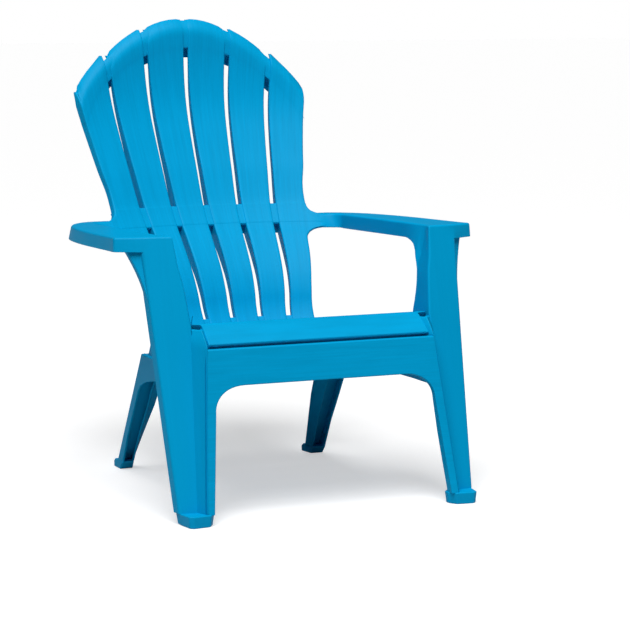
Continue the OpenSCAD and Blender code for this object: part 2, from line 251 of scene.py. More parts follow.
def arc_height(q, peak, radius):
    """Height at which a fan line of sideways pitch q meets an arc."""
    middle = peak - radius + FAN_DROP
    inside = middle**2 - (q * q + 1.0) * (middle**2 - radius**2)
    return (rooted(inside) + middle) / (q * q + 1.0) - FAN_DROP


def gable(line):
    """How far the crown falls below its arc, at a fan line counted from the middle."""
    return line * line * (3.0 - line) * GABLE


def roll(below_crown):
    """How far the rim of the crown rolls to the rear, at a distance below its edge."""
    return limited(1.0 - below_crown / ROLL_RUN, 0.0, ROLL_MOST) ** ROLL_CURVE * ROLL_BACK


def back_front(x, z):
    """Y of the front of the back, without the roll of its rim."""
    radius = back_profile(z) - WAIST_Y + HOLLOW
    return WAIST_Y - HOLLOW + math.sqrt(radius**2 - x**2)


def on_back(x, z, depth, crown=1100.0):
    """A point at a depth behind the front of the back, square to it."""
    slope = (back_front(x, z + 3.0) - back_front(x, z - 3.0)) / 6.0
    side = (back_front(x + 3.0, z) - back_front(x - 3.0, z)) / 6.0
    length = math.sqrt(1.0 + slope**2 + side**2)
    y = back_front(x, z) + roll(crown - z)
    return (x - side * depth / length, y + depth / length, z - slope * depth / length)


# --- Making pieces ----------------------------------------------------------

def spot(point):
    """A point in millimetres from the toes, in the frame's metres."""
    return Vector((point[0] * MM, point[1] * MM + TOE, point[2] * MM))


def grid_faces(rows, columns, closed=False):
    """The faces of a grid of points, which may close round its columns."""
    across = columns if closed else columns - 1
    return [(r * columns + c, r * columns + (c + 1) % columns,
             (r + 1) * columns + (c + 1) % columns, (r + 1) * columns + c)
            for r in range(rows - 1) for c in range(across)]


def end_faces(rows, columns):
    """The two faces that close the ends of a grid that closes round its columns."""
    return [tuple(reversed(range(columns))), tuple(range(columns * (rows - 1), columns * rows))]


def gather(patches, mirror=False):
    """One welded bmesh from grids (lists of rows) and single faces (lists of points)."""
    made = bmesh.new()
    sign = -1.0 if mirror else 1.0
    for patch in patches:
        if isinstance(patch[0][0], (int, float)):
            rows, faces = [patch], [tuple(range(len(patch)))]
        else:
            rows, faces = patch, grid_faces(len(patch), len(patch[0]))
        points = [made.verts.new(spot((sign * p[0], p[1], p[2]))) for row in rows for p in row]
        for face in faces:
            made.faces.new([points[i] for i in face])
    bmesh.ops.remove_doubles(made, verts=made.verts, dist=0.0002)
    bmesh.ops.dissolve_degenerate(made, edges=made.edges, dist=0.0001)
    return made


def aim_faces(made, outward):
    """Turns an open sheet so that most of it faces outward."""
    bmesh.ops.recalc_face_normals(made, faces=made.faces)
    facing = sum(face.calc_area() * face.normal.dot(outward) for face in made.faces)
    if facing < 0:
        bmesh.ops.reverse_faces(made, faces=made.faces)


def as_object(name, made):
    mesh = bpy.data.meshes.new(name)
    made.to_mesh(mesh)
    made.free()
    obj = bpy.data.objects.new(name, mesh)
    bpy.context.scene.collection.objects.link(obj)
    return obj


def with_modifiers(obj, steps):
    """Applies modifiers in turn and leaves a plain mesh."""
    for kind, settings in steps:
        modifier = obj.modifiers.new(kind.title(), kind)
        for key, setting in settings.items():
            setattr(modifier, key, setting)
    bpy.context.view_layer.update()
    seen = obj.evaluated_get(bpy.context.evaluated_depsgraph_get())
    mesh = bpy.data.meshes.new_from_object(seen)
    obj.modifiers.clear()
    old, obj.data = obj.data, mesh
    bpy.data.meshes.remove(old)
    mesh.name = obj.name
    return obj


def edge_round(width, angle, segments):
    return ("BEVEL", {"width": width * MM, "segments": segments, "limit_method": "ANGLE",
                      "angle_limit": math.radians(angle), "use_clamp_overlap": False,
                      "miter_outer": "MITER_ARC"})


def moulded(name, patches, outward, mirror=False, soft=4.0, wall=WALL, rim=1.0, corner=28.0):
    """A moulded wall: soft bends, an even thickness behind the seen side, and eased rims."""
    made = gather(patches, mirror)
    facing = Vector(outward)
    if mirror:
        facing.x = -facing.x
    aim_faces(made, facing)
    steps = []
    if soft:
        steps.append(edge_round(soft, corner, 4))
    steps.append(("SOLIDIFY", {"thickness": wall * MM, "offset": -1.0, "use_even_offset": True,
                               "use_quality_normals": True}))
    if rim:
        steps.append(edge_round(rim, 58.0, 2))
    return with_modifiers(as_object(name, made), steps)


def block(name, patches, mirror=False, soft=3.0):
    """A closed block with eased edges."""
    made = gather(patches, mirror)
    bmesh.ops.recalc_face_normals(made, faces=made.faces)
    return with_modifiers(as_object(name, made), [edge_round(soft, 25.0, 3)])


X_AXIS, Y_AXIS, Z_AXIS = Vector((1, 0, 0)), Vector((0, 1, 0)), Vector((0, 0, 1))


def grain_lines(obj, along, across):
    """Stores, for the material, where each corner lies along and across the wood grain."""
    mesh = obj.data
    store = mesh.attributes.new("grain", "FLOAT_VECTOR", "POINT")
    for vertex in mesh.vertices:
        store.data[vertex.index].vector = (vertex.co.dot(along), vertex.co.dot(across), 0.0)


def smooth(obj, angle=32.0):
    mesh = obj.data
    mesh.polygons.foreach_set("use_smooth", [True] * len(mesh.polygons))
    mesh.set_sharp_from_angle(angle=math.radians(angle))
    with_modifiers(obj, [("WEIGHTED_NORMAL", {"keep_sharp": True, "weight": 60})])


def install(obj, material, slot, *nodes):
    """Puts a piece on the chair's body, in place of the nodes that it replaces."""
    obj.data.materials.clear()
    obj.data.materials.append(material)
    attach(obj, "root")
    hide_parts(*nodes)
    return obj


def fit_out(obj, along, across, material, slot, *nodes):
    """Gives a piece its grain and its shading, and puts it on the chair's body."""
    grain_lines(obj, along, across)
    smooth(obj)
    install(obj, material, slot, *nodes)


# --- Finishes ---------------------------------------------------------------

def resin(name, colour, grain_depth, rough):
    """Satin moulded resin, with wood grain along the stored grain lines."""
    material = bpy.data.materials.new(name)
    material.use_nodes = True
    tree = material.node_tree
    tree.nodes.clear()
    net = Net(tree)
    place = net.value("ShaderNodeTexCoord", output=3)
    lines = net.value("ShaderNodeAttribute", {"attribute_name": "grain"}, output=1)
    fibres = net.value("ShaderNodeMapping", None, {"Vector": lines, "Scale": (9.0, 330.0, 1.0)})
    waves = net.value("ShaderNodeMapping", None, {"Vector": lines, "Scale": (5.0, 75.0, 1.0)})
    fine = net.value("ShaderNodeTexNoise", None,
                     {"Vector": fibres, "Scale": 1.0, "Detail": 3.0, "Roughness": 0.55, "Distortion": 0.3})
    broad = net.value("ShaderNodeTexNoise", None,
                      {"Vector": waves, "Scale": 1.0, "Detail": 2.0, "Roughness": 0.5, "Distortion": 0.8})
    speck = net.value("ShaderNodeTexNoise", None, {"Vector": place, "Scale": 900.0, "Detail": 2.0})
    cloud = net.value("ShaderNodeTexNoise", None, {"Vector": place, "Scale": 7.0, "Detail": 2.0})
    grain = fine * 0.55 + broad * 0.45
    height = grain * grain_depth + speck * 0.12
    shade = limited((grain - 0.5) * (1.7 * grain_depth) + (cloud - 0.5) * 0.22 + 0.5)
    darker = tuple(c * 0.86 for c in colour) + (1.0,)
    lighter = tuple(min(1.0, c * 1.10) for c in colour) + (1.0,)
    # Sockets 6 and 7 of the node take its two colours, and socket 2 gives the mixed one
    tint = net.value("ShaderNodeMix", {"data_type": "RGBA"},
                     {"Factor": shade, 6: darker, 7: lighter}, output=2)
    bump = net.value("ShaderNodeBump", None, {"Height": height, "Strength": 0.5, "Distance": 0.0008})
    body = net.value("ShaderNodeBsdfPrincipled", None, {
        "Base Color": tint,
        "Roughness": limited((cloud - 0.5) * 0.14 + (speck - 0.5) * 0.12 + rough),
        "Normal": bump,
        "Specular IOR Level": 0.05,
        "IOR": 1.46,
    })
    net.node("ShaderNodeOutputMaterial", None, {"Surface": body})
    return material


POOL_BLUE = (0.0, 0.315, 0.60)
grained_resin = resin("grained_resin", POOL_BLUE, 1.0, 0.42)
smooth_resin = resin("smooth_resin", POOL_BLUE, 0.25, 0.40)


# --- Back boards ------------------------------------------------------------

def board_blank():
    """One channel board with a station number along it and section numbers round it."""
    radius, steps, wall = 3.2, 3, 3.8
    ring = [(0.0, 0.0, 0.0, 1.0)]
    ring += [(0.0, radius * (1 - math.cos(a)), radius * (1 - math.sin(a)), 0.0)
             for a in (math.pi / 2 * i / steps for i in range(steps + 1))]
    flat = [0.12, 0.3, 0.5, 0.7, 0.88]
    ring += [(s, 0.0, 0.0, 0.0) for s in flat]
    ring += [(1.0, -inset, deep, 0.0) for s, inset, deep, _ in reversed(ring[1:steps + 2])]
    ring += [(1.0, 0.0, 0.0, 1.0), (1.0, -wall, 0.0, 1.0), (1.0, -wall, wall + 1.0, 0.0),
             (1.0, -wall - 1.5, wall, 0.0)]
    ring += [(s, 0.0, wall, 0.0) for s in reversed(flat)]
    ring += [(0.0, wall + 1.5, wall, 0.0), (0.0, wall, wall + 1.0, 0.0), (0.0, wall, 0.0, 1.0)]
    # From 0 at the seat to 1 at the waist, 2 above it, 3 at the slots' tops and 4 at the crown,
    # closer together where the edges sweep out to the arms and where the rim rolls back
    stations = [i / 28 for i in range(23)]
    stations += [0.8 + i / 95 for i in range(20)]
    stations += [1 + i / 26 for i in range(27)]
    stations += [2 + i / 28 for i in range(1, 29)]
    stations += [3.03, 3.2, 3.4, 3.52, 3.62, 3.7, 3.76, 3.82, 3.87, 3.91, 3.94, 3.97, 3.99, 4.0]
    mesh = bpy.data.meshes.new("board_blank")
    count = len(ring)
    points = [(station, section[0], section[2]) for station in stations for section in ring]
    faces = grid_faces(len(stations), count, closed=True)
    faces += end_faces(len(stations), count)
    mesh.from_pydata(points, [], faces)
    numbers = {"station": [s for s in stations for _ in ring]}
    for place, key in enumerate(("share", "inset", "deep", "flange")):
        numbers[key] = [section[place] for _ in stations for section in ring]
    for key, values in numbers.items():
        mesh.attributes.new(key, "FLOAT", "POINT").data.foreach_set("value", values)
    obj = bpy.data.objects.new("back_boards", mesh)
    bpy.context.scene.collection.objects.link(obj)
    return obj


def add_inputs(tree, sizes):
    """Named size inputs, and the geometry in and out."""
    tree.interface.new_socket("Geometry", in_out="INPUT", socket_type="NodeSocketGeometry")
    tree.interface.new_socket("Geometry", in_out="OUTPUT", socket_type="NodeSocketGeometry")
    for label, size in sizes.items():
        kind = "NodeSocketInt" if isinstance(size, int) else "NodeSocketFloat"
        tree.interface.new_socket(label, in_out="INPUT", socket_type=kind)


def set_inputs(modifier, sizes):
    for item in modifier.node_group.interface.items_tree:
        if item.in_out == "INPUT" and item.name in sizes:
            modifier[item.identifier] = sizes[item.name]


def repeated(net, entry, count, name):
    """Copies of the geometry, each with its number stored on its points."""
    points = net.value("GeometryNodePoints", None, {"Count": count})
    number = net.value("GeometryNodeInputIndex")
    marked = net.value("GeometryNodeStoreNamedAttribute", {"data_type": "FLOAT", "domain": "POINT"},
                       {"Geometry": points, "Name": name, "Value": number})
    copies = net.value("GeometryNodeInstanceOnPoints", None, {"Points": marked, "Instance": entry})
    return net.value("GeometryNodeRealizeInstances", None, {"Geometry": copies})


def stored(net, name):
    return net.value("GeometryNodeInputNamedAttribute", {"data_type": "FLOAT"}, {"Name": name})


def close_tree(net, shape, material):
    real = net.value("GeometryNodeRealizeInstances", None, {"Geometry": shape})
    coated = net.value("GeometryNodeSetMaterial", None, {"Geometry": real, "Material": material})
    net.node("NodeGroupOutput", None, {"Geometry": coated})


def board_tree(sizes):
    """Repeats the board across the fan and bends each copy to the back."""
    tree = bpy.data.node_groups.new("fan_of_boards", "GeometryNodeTree")
    add_inputs(tree, sizes)
    net = Net(tree)
    entry = net.node("NodeGroupInput")
    given = {item.name: Value(net, entry.outputs[item.name]) for item in entry.outputs if item.name}
    boards = repeated(net, given["Geometry"], given["Boards"], "board")
    board = stored(net, "board")
    station, share = stored(net, "station"), stored(net, "share")
    inset, deep, flange = stored(net, "inset"), stored(net, "deep"), stored(net, "flange")
    pitch, drop = given["Fan pitch"], given["Fan drop"]
    line = board - given["Boards"] * 0.5
    last = given["Boards"] * 0.5
    left_outer = 1.0 - (line + last).over(0.5)
    right_outer = 1.0 - (last - line - 1.0).over(0.5)
    left_line = between(line, EDGE_LINE * -1.0, left_outer)
    right_line = between(line + 1.0, EDGE_LINE, right_outer)
    q = between(left_line, right_line, share) * pitch

    def arc(peak, radius):
        middle = peak - radius + drop
        inside = middle * middle - (q * q + 1.0) * (middle * middle - radius * radius)
        return (inside.root() + middle) / (q * q + 1.0) - drop

    slot_top = arc(given["Slot top"], given["Slot top radius"])
    off_line = between(left_line, right_line, share).size()
    crown = arc(given["Crown"], given["Crown radius"]) - gable(off_line)
    off_middle = (share * 2.0 - 1.0).size()
    tip = limited((off_middle - 0.94) / 0.06)
    crown = crown - off_middle * off_middle * 1.2 - tip * tip * 1.2 - CROWN_SET
    marks = [given["Foot"], given["Waist"], given["Waist top"], slot_top, crown]
    z = marks[0]
    for place in range(4):
        z = z + (marks[place + 1] - marks[place]) * limited(station - float(place))

    def curve(height, points, lowest, highest):
        made = curve_node(net, height, points, lowest, highest)
        return Value(net, made.outputs[0]) * (highest - lowest) + lowest

    edge = curve(z, EDGE, EDGE_LOW, EDGE_HIGH)
    half_slot = given["Slot"] * 0.5 + limited(1.0 - ((z - 470.0) / 200.0).size()) * 0.9
    fan = (z + drop) * pitch
    left = between(line * fan + half_slot, edge * -1.0, left_outer)
    right = between((line + 1.0) * fan - half_slot, edge, right_outer)
    x = between(left, right, share) + inset
    inner_depth = curve(z, SIDE, SIDE_LOW, SIDE_HIGH)
    beside_fillet = limited((24.0 - (z - 487.0).size()) * 0.1)
    outer_depth = limited((z - 546.0) / 240.0) * 6.0 + 14.0 - beside_fillet * 9.0
    outer_depth = between(WALL + 1.0, outer_depth, limited((crown - z) / 26.0) ** 0.7)
    outer = between(left_outer, right_outer, share)
    beside_waist = limited((26.0 - (z - 507.0).size()) * 0.2)
    dive = limited((x.size() - 233.0) / 15.0) ** 2.0 * beside_waist * 4.0
    band = limited((z - given["Waist"]) * 0.7) * limited((given["Waist top"] - z) * 0.7)
    cap = limited((z - slot_top) * 0.5)
    raised = (1.0 - flange) * (band * 0.6 + cap * 0.5)
    depth = deep + dive - raised + flange * between(inner_depth, outer_depth, outer)

    def front(x_at, z_at):
        radius = curve(z_at, PROFILE, PROFILE_LOW, PROFILE_HIGH) - WAIST_Y + given["Hollow"]
        return (radius * radius - x_at * x_at).root() + (WAIST_Y - given["Hollow"])

    y = front(x, z) + roll(crown - z)
    slope = (front(x, z + 3.0) - front(x, z - 3.0)) / 6.0
    side = (front(x + 3.0, z) - front(x - 3.0, z)) / 6.0
    back = depth / (slope * slope + side * side + 1.0).root()
    where = net.value("ShaderNodeCombineXYZ", None, {
        "X": (x - side * back) * MM,
        "Y": (y + back) * MM + TOE,
        "Z": (z - slope * back) * MM,
    })
    bent = net.value("GeometryNodeSetPosition", None, {"Geometry": boards, "Position": where})
    lines = net.value("ShaderNodeCombineXYZ", None, {
        "X": z * MM + board * 0.7,
        "Y": (between(left, right, share) - (board - 2.5) * fan + inset + depth) * MM + board * 1.3,
    })
    grained = net.value("GeometryNodeStoreNamedAttribute",
                        {"data_type": "FLOAT_VECTOR", "domain": "POINT"},
                        {"Geometry": bent, "Name": "grain", "Value": lines})
    close_tree(net, grained, grained_resin)
    return tree


def from_nodes(obj, tree, sizes):
    modifier = obj.modifiers.new("Make", "NODES")
    modifier.node_group = tree
    set_inputs(modifier, sizes)
    return with_modifiers(obj, [])


fan_sizes = {
    "Boards": 6,
    "Fan pitch": FAN_PITCH,
    "Fan drop": FAN_DROP,
    "Slot": 10.5,
    "Foot": SEAT_REAR,
    "Waist": WAIST,
    "Waist top": WAIST_TOP,
    "Slot top": SLOT_TOP,
    "Slot top radius": SLOT_TOP_R,
    "Crown": CROWN,
    "Crown radius": CROWN_R,
    "Hollow": HOLLOW,
}
boards = from_nodes(board_blank(), board_tree(fan_sizes), fan_sizes)
smooth(boards, 40.0)
install(boards, grained_resin, "grained_resin",
        *[f"{part}_{i}" for part in ("back_slat", "lumbar_slat") for i in range(1, 7)])


# --- Crown and waist --------------------------------------------------------

def crown_web():
    """The web that joins the boards under the crown, with its rear flange."""
    # How far the web stops short of the crown, in the notch at each fan line
    notch = {0: 3.5, 1: 6.0, 2: 9.0}
    # Heights above the slots' tops and depths, from the flange's free edge to the web
    path = [(-19.0, 24.0), (-10.0, 23.5), (-2.0, 22.5), (0.5, 20.0), (0.8, 12.0), (0.8, 4.5),
            (2.0, 2.2), (5.0, 1.6)]
    rows = []
    columns = 73
    for c in range(columns):
        line = between(-EDGE_LINE + 0.05, EDGE_LINE - 0.05, c / (columns - 1))
        q = line * FAN_PITCH
        bottom = arc_height(q, SLOT_TOP, SLOT_TOP_R)
        crown = arc_height(q, CROWN, CROWN_R) - gable(abs(line)) - CROWN_SET
        cut = notch[min(2, round(abs(line)))]
        row = []
        # The flange is shallower beside the edges, where it stays inside their turned-back sides
        shallow = 9.0 * limited((abs(line) - 2.3) / 0.4)
        for lift, deep in path:
            z = bottom + lift
            row.append(on_back(q * (z + FAN_DROP), z, min(deep, 24.0 - shallow), crown))
        for i in range(1, 11):
            z = between(bottom + 5.0, crown - cut, i / 10)
            row.append(on_back(q * (z + FAN_DROP), z, 1.6, crown))
        rows.append(row)
    return rows


crown = moulded("crown", [crown_web()], (0, -1, 0), soft=0, wall=3.4, rim=0.8)
fit_out(crown, Z_AXIS, X_AXIS, grained_resin, "grained_resin", "crown_rail")


def cross_web(low_z, high_z, low_depth, high_depth):
    """A web between the boards that closes the slots between two heights."""
    run = high_z - low_z
    path = [(-0.5, low_depth), (-0.5, 12.0), (-0.5, 5.0), (1.0, 2.4), (3.0, 1.6)]
    path += [(3.0 + i * (run - 6.0) / 6, 1.6) for i in range(1, 7)]
    path += [(run - 1.0, 2.4), (run + 0.5, 5.0), (run + 0.5, 12.0), (run + 0.5, high_depth)]
    rows = []
    for c in range(49):
        q = between(-2.85, 2.85, c / 48) * FAN_PITCH
        rows.append([on_back(q * (low_z + lift + FAN_DROP), low_z + lift, deep) for lift, deep in path])
    return rows


waist = moulded("waist", [cross_web(WAIST, WAIST_TOP, 40.0, 26.0)], (0, -1, 0), soft=0, wall=3.2, rim=0.8)
fit_out(waist, Z_AXIS, X_AXIS, grained_resin, "grained_resin", "waist_band")

foot_web = moulded("back_foot", [cross_web(SEAT_REAR - 14.0, SEAT_REAR + 18.0, 15.0, 15.0)], (0, -1, 0),
                   soft=0, wall=3.2, rim=0.8)
fit_out(foot_web, Z_AXIS, X_AXIS, grained_resin, "grained_resin", "back_seat_rail")


# --- Arms and front legs ----------------------------------------------------

INNER_CORNER = smooth_line([(340, 250), (365, 250), (382, 252), (414, 255), (441, 258),
                            (467, 262), (506, 266), (540, 268.5)])
WINDOW = smooth_line([(340, 199), (358, 196), (388, 192), (409, 190.5), (430, 193), (447, 197)])
WINDOW_TOP = smooth_line([(197, 447), (207, 469), (225, 485.5), (250, 493.5), (291, 498), (340, 498.5)])
ARM_INNER = smooth_line([(163, 268.5), (185, 275.5), (204, 278.5), (230, 280), (604, 280)])
SKIRT = 28.0
ARM_FALL = 0.0316
ARM_FRONT = 163.0
# Height of the window's corner, above which the leg's inner wall runs on as the arm's skirt
WINDOW_CORNER = 447.0
# Middle and radius of the round end of the arm's inner edge, and where the arm meets the waist
ARM_END_X, ARM_END_Y, ARM_END_R = 242.0, 604.0, 38.0
ARM_REAR = 645.0


def arm_plane(y):
    """Height of the arm tops, which fall slightly to the rear."""
    return ARM_TOP - ARM_FALL * (y - ARM_FRONT)


def face_y(x, z):
    """Front of the wide leg face, which leans back and turns out."""
    return 27.0 + 0.26 * z + 0.15 * (x - 260.0)


def outer_corner(z):
    return 307.0 + 0.047 * z


def valley_x(z):
    """Inner edge of the leg face, beside the ridge."""
    return 250.0 + 0.06 * max(0.0, 355.0 - z)


def apron_y(z):
    return 3.0 + 0.21 * z


def ring_sides(a, b):
    """The faces between two rings of points."""
    count = len(a)
    return [[a[i], a[(i + 1) % count], b[(i + 1) % count], b[i]] for i in range(count)]


def arm_outer():
    """The outer edge of the arm top, from its front corner round to the back."""
    marks = [(379, 198), (374, 228), (370, 315), (366, 400), (358, 480), (345, 560),
             (327, 615), (305, 650), (283, 670), (262, 677), (240, 678), (206, 678)]
    line = []
    for i in range(len(marks) - 1):
        p = [marks[max(0, i - 1)], marks[i], marks[i + 1], marks[min(len(marks) - 1, i + 2)]]
        for s in range(5):
            t = s / 5
            line.append(tuple(
                0.5 * (2 * p[1][k] + (p[2][k] - p[0][k]) * t
                       + (2 * p[0][k] - 5 * p[1][k] + 4 * p[2][k] - p[3][k]) * t**2
                       + (3 * p[1][k] - p[0][k] - 3 * p[2][k] + p[3][k]) * t**3) for k in (0, 1)))
    line.append(marks[-1])
    return line[:1] + line[3:]


LEVELS = [0.0, 1 / 3, 2 / 3, 1.0]
WALL_STEPS = 4


def inner_corner(z):
    """The corner between the leg face and the wall that faces the sitter."""
    x = INNER_CORNER(z)
    return (x, face_y(x, z), z)


def inner_wall(heights):
    """The wall that faces the sitter, below the corner of the window."""
    rows = []
    for z in heights:
        x, y, _ = inner_corner(z)
        rows.append([(x + 0.5 * j / WALL_STEPS, between(y, WINDOW(z), j / WALL_STEPS), z)
                     for j in range(WALL_STEPS + 1)])
    return rows


def inner_skirt():
    """Columns of the same wall above the window's corner, then along the arm to the back."""
    columns = []
    for j in range(WALL_STEPS + 1):
        column = []
        for share in LEVELS:
            top_z = arm_plane(face_y(INNER_CORNER(533), 533))
            z = between(WINDOW_CORNER, top_z, share)
            x, y, _ = inner_corner(z)
            y = between(y, 197.0, j / WALL_STEPS)
            x = between(x + 0.5 * j / WALL_STEPS, ARM_INNER(y), share)
            column.append((x, y, z if share < 1 else arm_plane(y)))
        columns.append(column)
    for y in (207.0, 216.0, 225.0, 237.0, 250.0, 268.0, 291.0, 320.0, 360.0, 420.0, 480.0, 540.0,
              580.0, ARM_END_Y):
        lowest = min(WINDOW_TOP(y), arm_plane(y) - 31.0)
        lean = between(0.3, 0.04, limited((y - 225.0) / 66.0))
        heights = [between(lowest, arm_plane(y), share) for share in LEVELS]
        columns.append([(ARM_INNER(y) - lean * (arm_plane(y) - z), y, z) for z in heights])
    for i in range(1, 13):
        turn = math.radians(min(90.0, 15.0 * i))
        x, y = ARM_END_X + ARM_END_R * math.cos(turn), ARM_END_Y + ARM_END_R * math.sin(turn)
        if i > 6:
            x = ARM_END_X - 6.0 * (i - 6)
            y = back_front(x, arm_plane(ARM_REAR))
        y = between(y, back_front(min(x, 262.0), arm_plane(ARM_REAR)) + 0.4, limited((i - 3) / 3))
        lean = 0.75 * limited(i / 6)
        top_z = arm_plane(y)
        lowest = top_z - between(31.0, 26.5, limited(i / 6))
        heights = [between(lowest, top_z, share) for share in LEVELS]
        columns.append([(x, y - lean * (top_z - z), z) for z in heights])
    return columns


def leg_face(low_heights, first_column):
    """The wide front face of the leg up to the arm, and its outer flange."""
    heights = [FOOT - 1.0, 60.0, 100.0, 150.0, 200.0, 250.0, 300.0] + low_heights
    heights += [first_column[r][2] for r in (1, 2, 3)]
    face, flange = [], []
    for z in heights:
        inner = inner_corner(z) if z >= low_heights[0] else (valley_x(z) - 2.0, face_y(valley_x(z), z), z)
        if z > WINDOW_CORNER + 1.0:
            inner = first_column[[point[2] for point in first_column].index(z)]
        x = outer_corner(z)
        outer = (x, face_y(x, z), z)
        face.append([inner, tuple((a + b) / 2 for a, b in zip(inner, outer)), outer])
        flange.append([outer, (x + 1.5, outer[1] + 11.0, z), (x + 3.0, outer[1] + 23.0, z)])
    return face, flange[:-1]


def outer_skirt(front):
    """The lower and upper edge of the skirt round the outside of the arm."""
    line = arm_outer()
    upper = [(x, y, arm_plane(y)) for x, y in line]
    lower = []
    for i, (x, y) in enumerate(line):
        before, after = line[max(0, i - 1)], line[min(len(line) - 1, i + 1)]
        dx, dy = after[0] - before[0], after[1] - before[1]
        length = math.hypot(dx, dy)
        flare = between(3.0, 6.0, limited(i / 20))
        lower.append((x + flare * dy / length, y - flare * dx / length, arm_plane(y) - SKIRT))
    lower[0] = (380.0, 195.5, front[2])
    return lower, upper


def arm_patches():
    """The arm, with the face and the inner wall of the leg under it."""
    low_heights = [347.0, 364.0, 382.0, 400.0, 415.0, 430.0, WINDOW_CORNER]
    columns = inner_skirt()
    inner_top = [column[-1] for column in columns]
    face, flange = leg_face(low_heights, columns[0])
    front_low, front_top = face[-2], face[-1]
    rim_low, rim_top = outer_skirt(front_low[2])
    return [
        inner_wall(low_heights),
        [[column[r] for column in columns] for r in range(len(LEVELS))],
        face,
        flange,
        [[front_low[2], rim_low[0]], [front_top[2], rim_top[0]]],
        [rim_low, rim_top],
        front_top + rim_top + list(reversed(inner_top))[:-1],
    ]


for hand, mirror in HANDS:
    arm = moulded(f"arm_and_leg_{hand}", arm_patches(), (0, 0, 1), mirror, soft=4.5, rim=1.2)
    fit_out(arm, Y_AXIS, X_AXIS, smooth_resin, "smooth_resin", f"arm_{hand}",
            f"front_leg_face_{hand}", f"front_leg_inner_{hand}")


def gusset_patches():
    """The brace under the arm, outside the leg, with its turned edge."""
    rows, side = [], []
    for i in range(9):
        z = between(400.0, 507.0, i / 8)
        spread = limited((z - 400.0) / 107.0) ** 1.8
        x0 = outer_corner(z)
        x1 = x0 + 0.5 + 24.0 * spread
        y0 = face_y(x0, z) + 2.5
        y1 = y0 + 1.5 + 21.0 * spread
        rows.append([(x0 - 9.0, y0, z), ((x0 - 9.0 + x1) / 2, (y0 + y1) / 2, z), (x1, y1, z)])
        side.append([(x1, y1, z), (x1 + 1.0, y1 + 14.0, z)])
    return [rows, side]


for hand, mirror in HANDS:
    brace = moulded(f"front_leg_brace_{hand}", gusset_patches(), (0, -1, 0), mirror, soft=2.5, wall=3.8)
    fit_out(brace, Z_AXIS, X_AXIS, smooth_resin, "smooth_resin", f"front_leg_flange_{hand}")


# --- Apron, strips and feet -------------------------------------------------

# The arch's height, its half width at the legs, the height at which it starts to bend in,
# and how far the bend reaches sideways
ARCH_TOP = 256.0
ARCH_HALF = 229.5
ARCH_LEG = 204.0
ARCH_BEND = 64.0


def ridge_x(z):
    """The ridge between the apron and the valley beside the leg face."""
    return 237.0 + 0.082 * (APRON_TOP - z)


def arch_line():
    """The edge of half of the big arch, from the foot up to the middle."""
    line = [(ARCH_HALF + 0.1 * (ARCH_LEG - z), z) for z in (FOOT - 1.0, 60.0, 100.0, 140.0, 175.0)]
    for i in range(13):
        turn = math.radians(90.0 * i / 12)
        line.append((ARCH_HALF - ARCH_BEND + ARCH_BEND * math.cos(turn) ** 0.9,
                     ARCH_LEG + (ARCH_TOP - ARCH_LEG) * math.sin(turn) ** 0.9))
    return line + [(x, ARCH_TOP) for x in (110.0, 55.0, 0.0)]


def apron_patches():
    line = arch_line()
    plate, flange, upper = [], [], []
    for side in (1.0, -1.0):
        near, edge, back = [], [], []
        for i, (x, z) in enumerate(line):
            depth = between(10.0, 20.0, limited((ARCH_TOP - z) / 120.0))
            edge.append((side * x, apron_y(z), z))
            back.append((side * (x - 0.5), apron_y(z) + depth, z - 1.0 * limited((z - 200.0) / 56.0)))
        # Outer and top edge, point for point with the arch
        for i, (x, z) in enumerate(line):
            if i < 5:
                near.append((side * ridge_x(z), apron_y(z), z))
            elif i < 5 + 7:
                at = between(ARCH_LEG, APRON_TOP, (i - 5) / 6)
                near.append((side * ridge_x(at), apron_y(at), at))
            elif i < 5 + 13:
                at = between(ridge_x(APRON_TOP), 150.0, (i - 11) / 6)
                near.append((side * at, apron_y(APRON_TOP), APRON_TOP))
            else:
                near.append((side * x, apron_y(APRON_TOP), APRON_TOP))
        plate.append([edge, near])
        flange.append([edge, back])
        top_edge = near[11:]
        upper.append([top_edge, [(x, y + 9.0, z + 0.5) for x, y, z in top_edge]])
    return plate + flange + upper


apron = moulded("apron", apron_patches(), (0, -1, 0), soft=2.2, rim=0.9)
fit_out(apron, X_AXIS, Z_AXIS, grained_resin, "grained_resin", "apron")


def strip_patches():
    """The ridge beside the leg face, from the seat lip down to the foot."""
    rows = []
    for z in (FOOT - 1.0, 60.0, 100.0, 150.0, 200.0, 250.0, 290.0, APRON_TOP, 333.0, 343.0, 351.0, 358.0):
        over = limited((z - APRON_TOP) / 40.0)
        ridge = (ridge_x(z) if z <= APRON_TOP else 237.0, apron_y(z) + 40.0 * over**1.3 - 8.0 * over, z)
        x = valley_x(z) + 4.0
        valley = (x, face_y(x, z) + 1.0, z)
        if z > 345.0:
            valley = (251.0, face_y(251.0, z) + 1.0, z)
        inward = 20.0 * limited((z - 290.0) / 20.0) + 1.0
        back = (ridge[0] - inward, ridge[1] + 14.0 + 22.0 * limited((z - 300.0) / 25.0), z - 1.0)
        middle = tuple(between(a, b, 0.55) for a, b in zip(ridge, valley))
        rows.append([back, ridge, (middle[0] - 0.5, middle[1] + 1.5, middle[2]), valley])
    rows.append([(x, y + 12.0, z + 0.5) for x, y, z in rows[-1]])
    return [rows]


for hand, mirror in HANDS:
    strip = moulded(f"leg_strip_{hand}", strip_patches(), (0, -1, 0), mirror, soft=1.8, wall=3.6)
    fit_out(strip, Z_AXIS, X_AXIS, smooth_resin, "smooth_resin", f"leg_strip_{hand}")


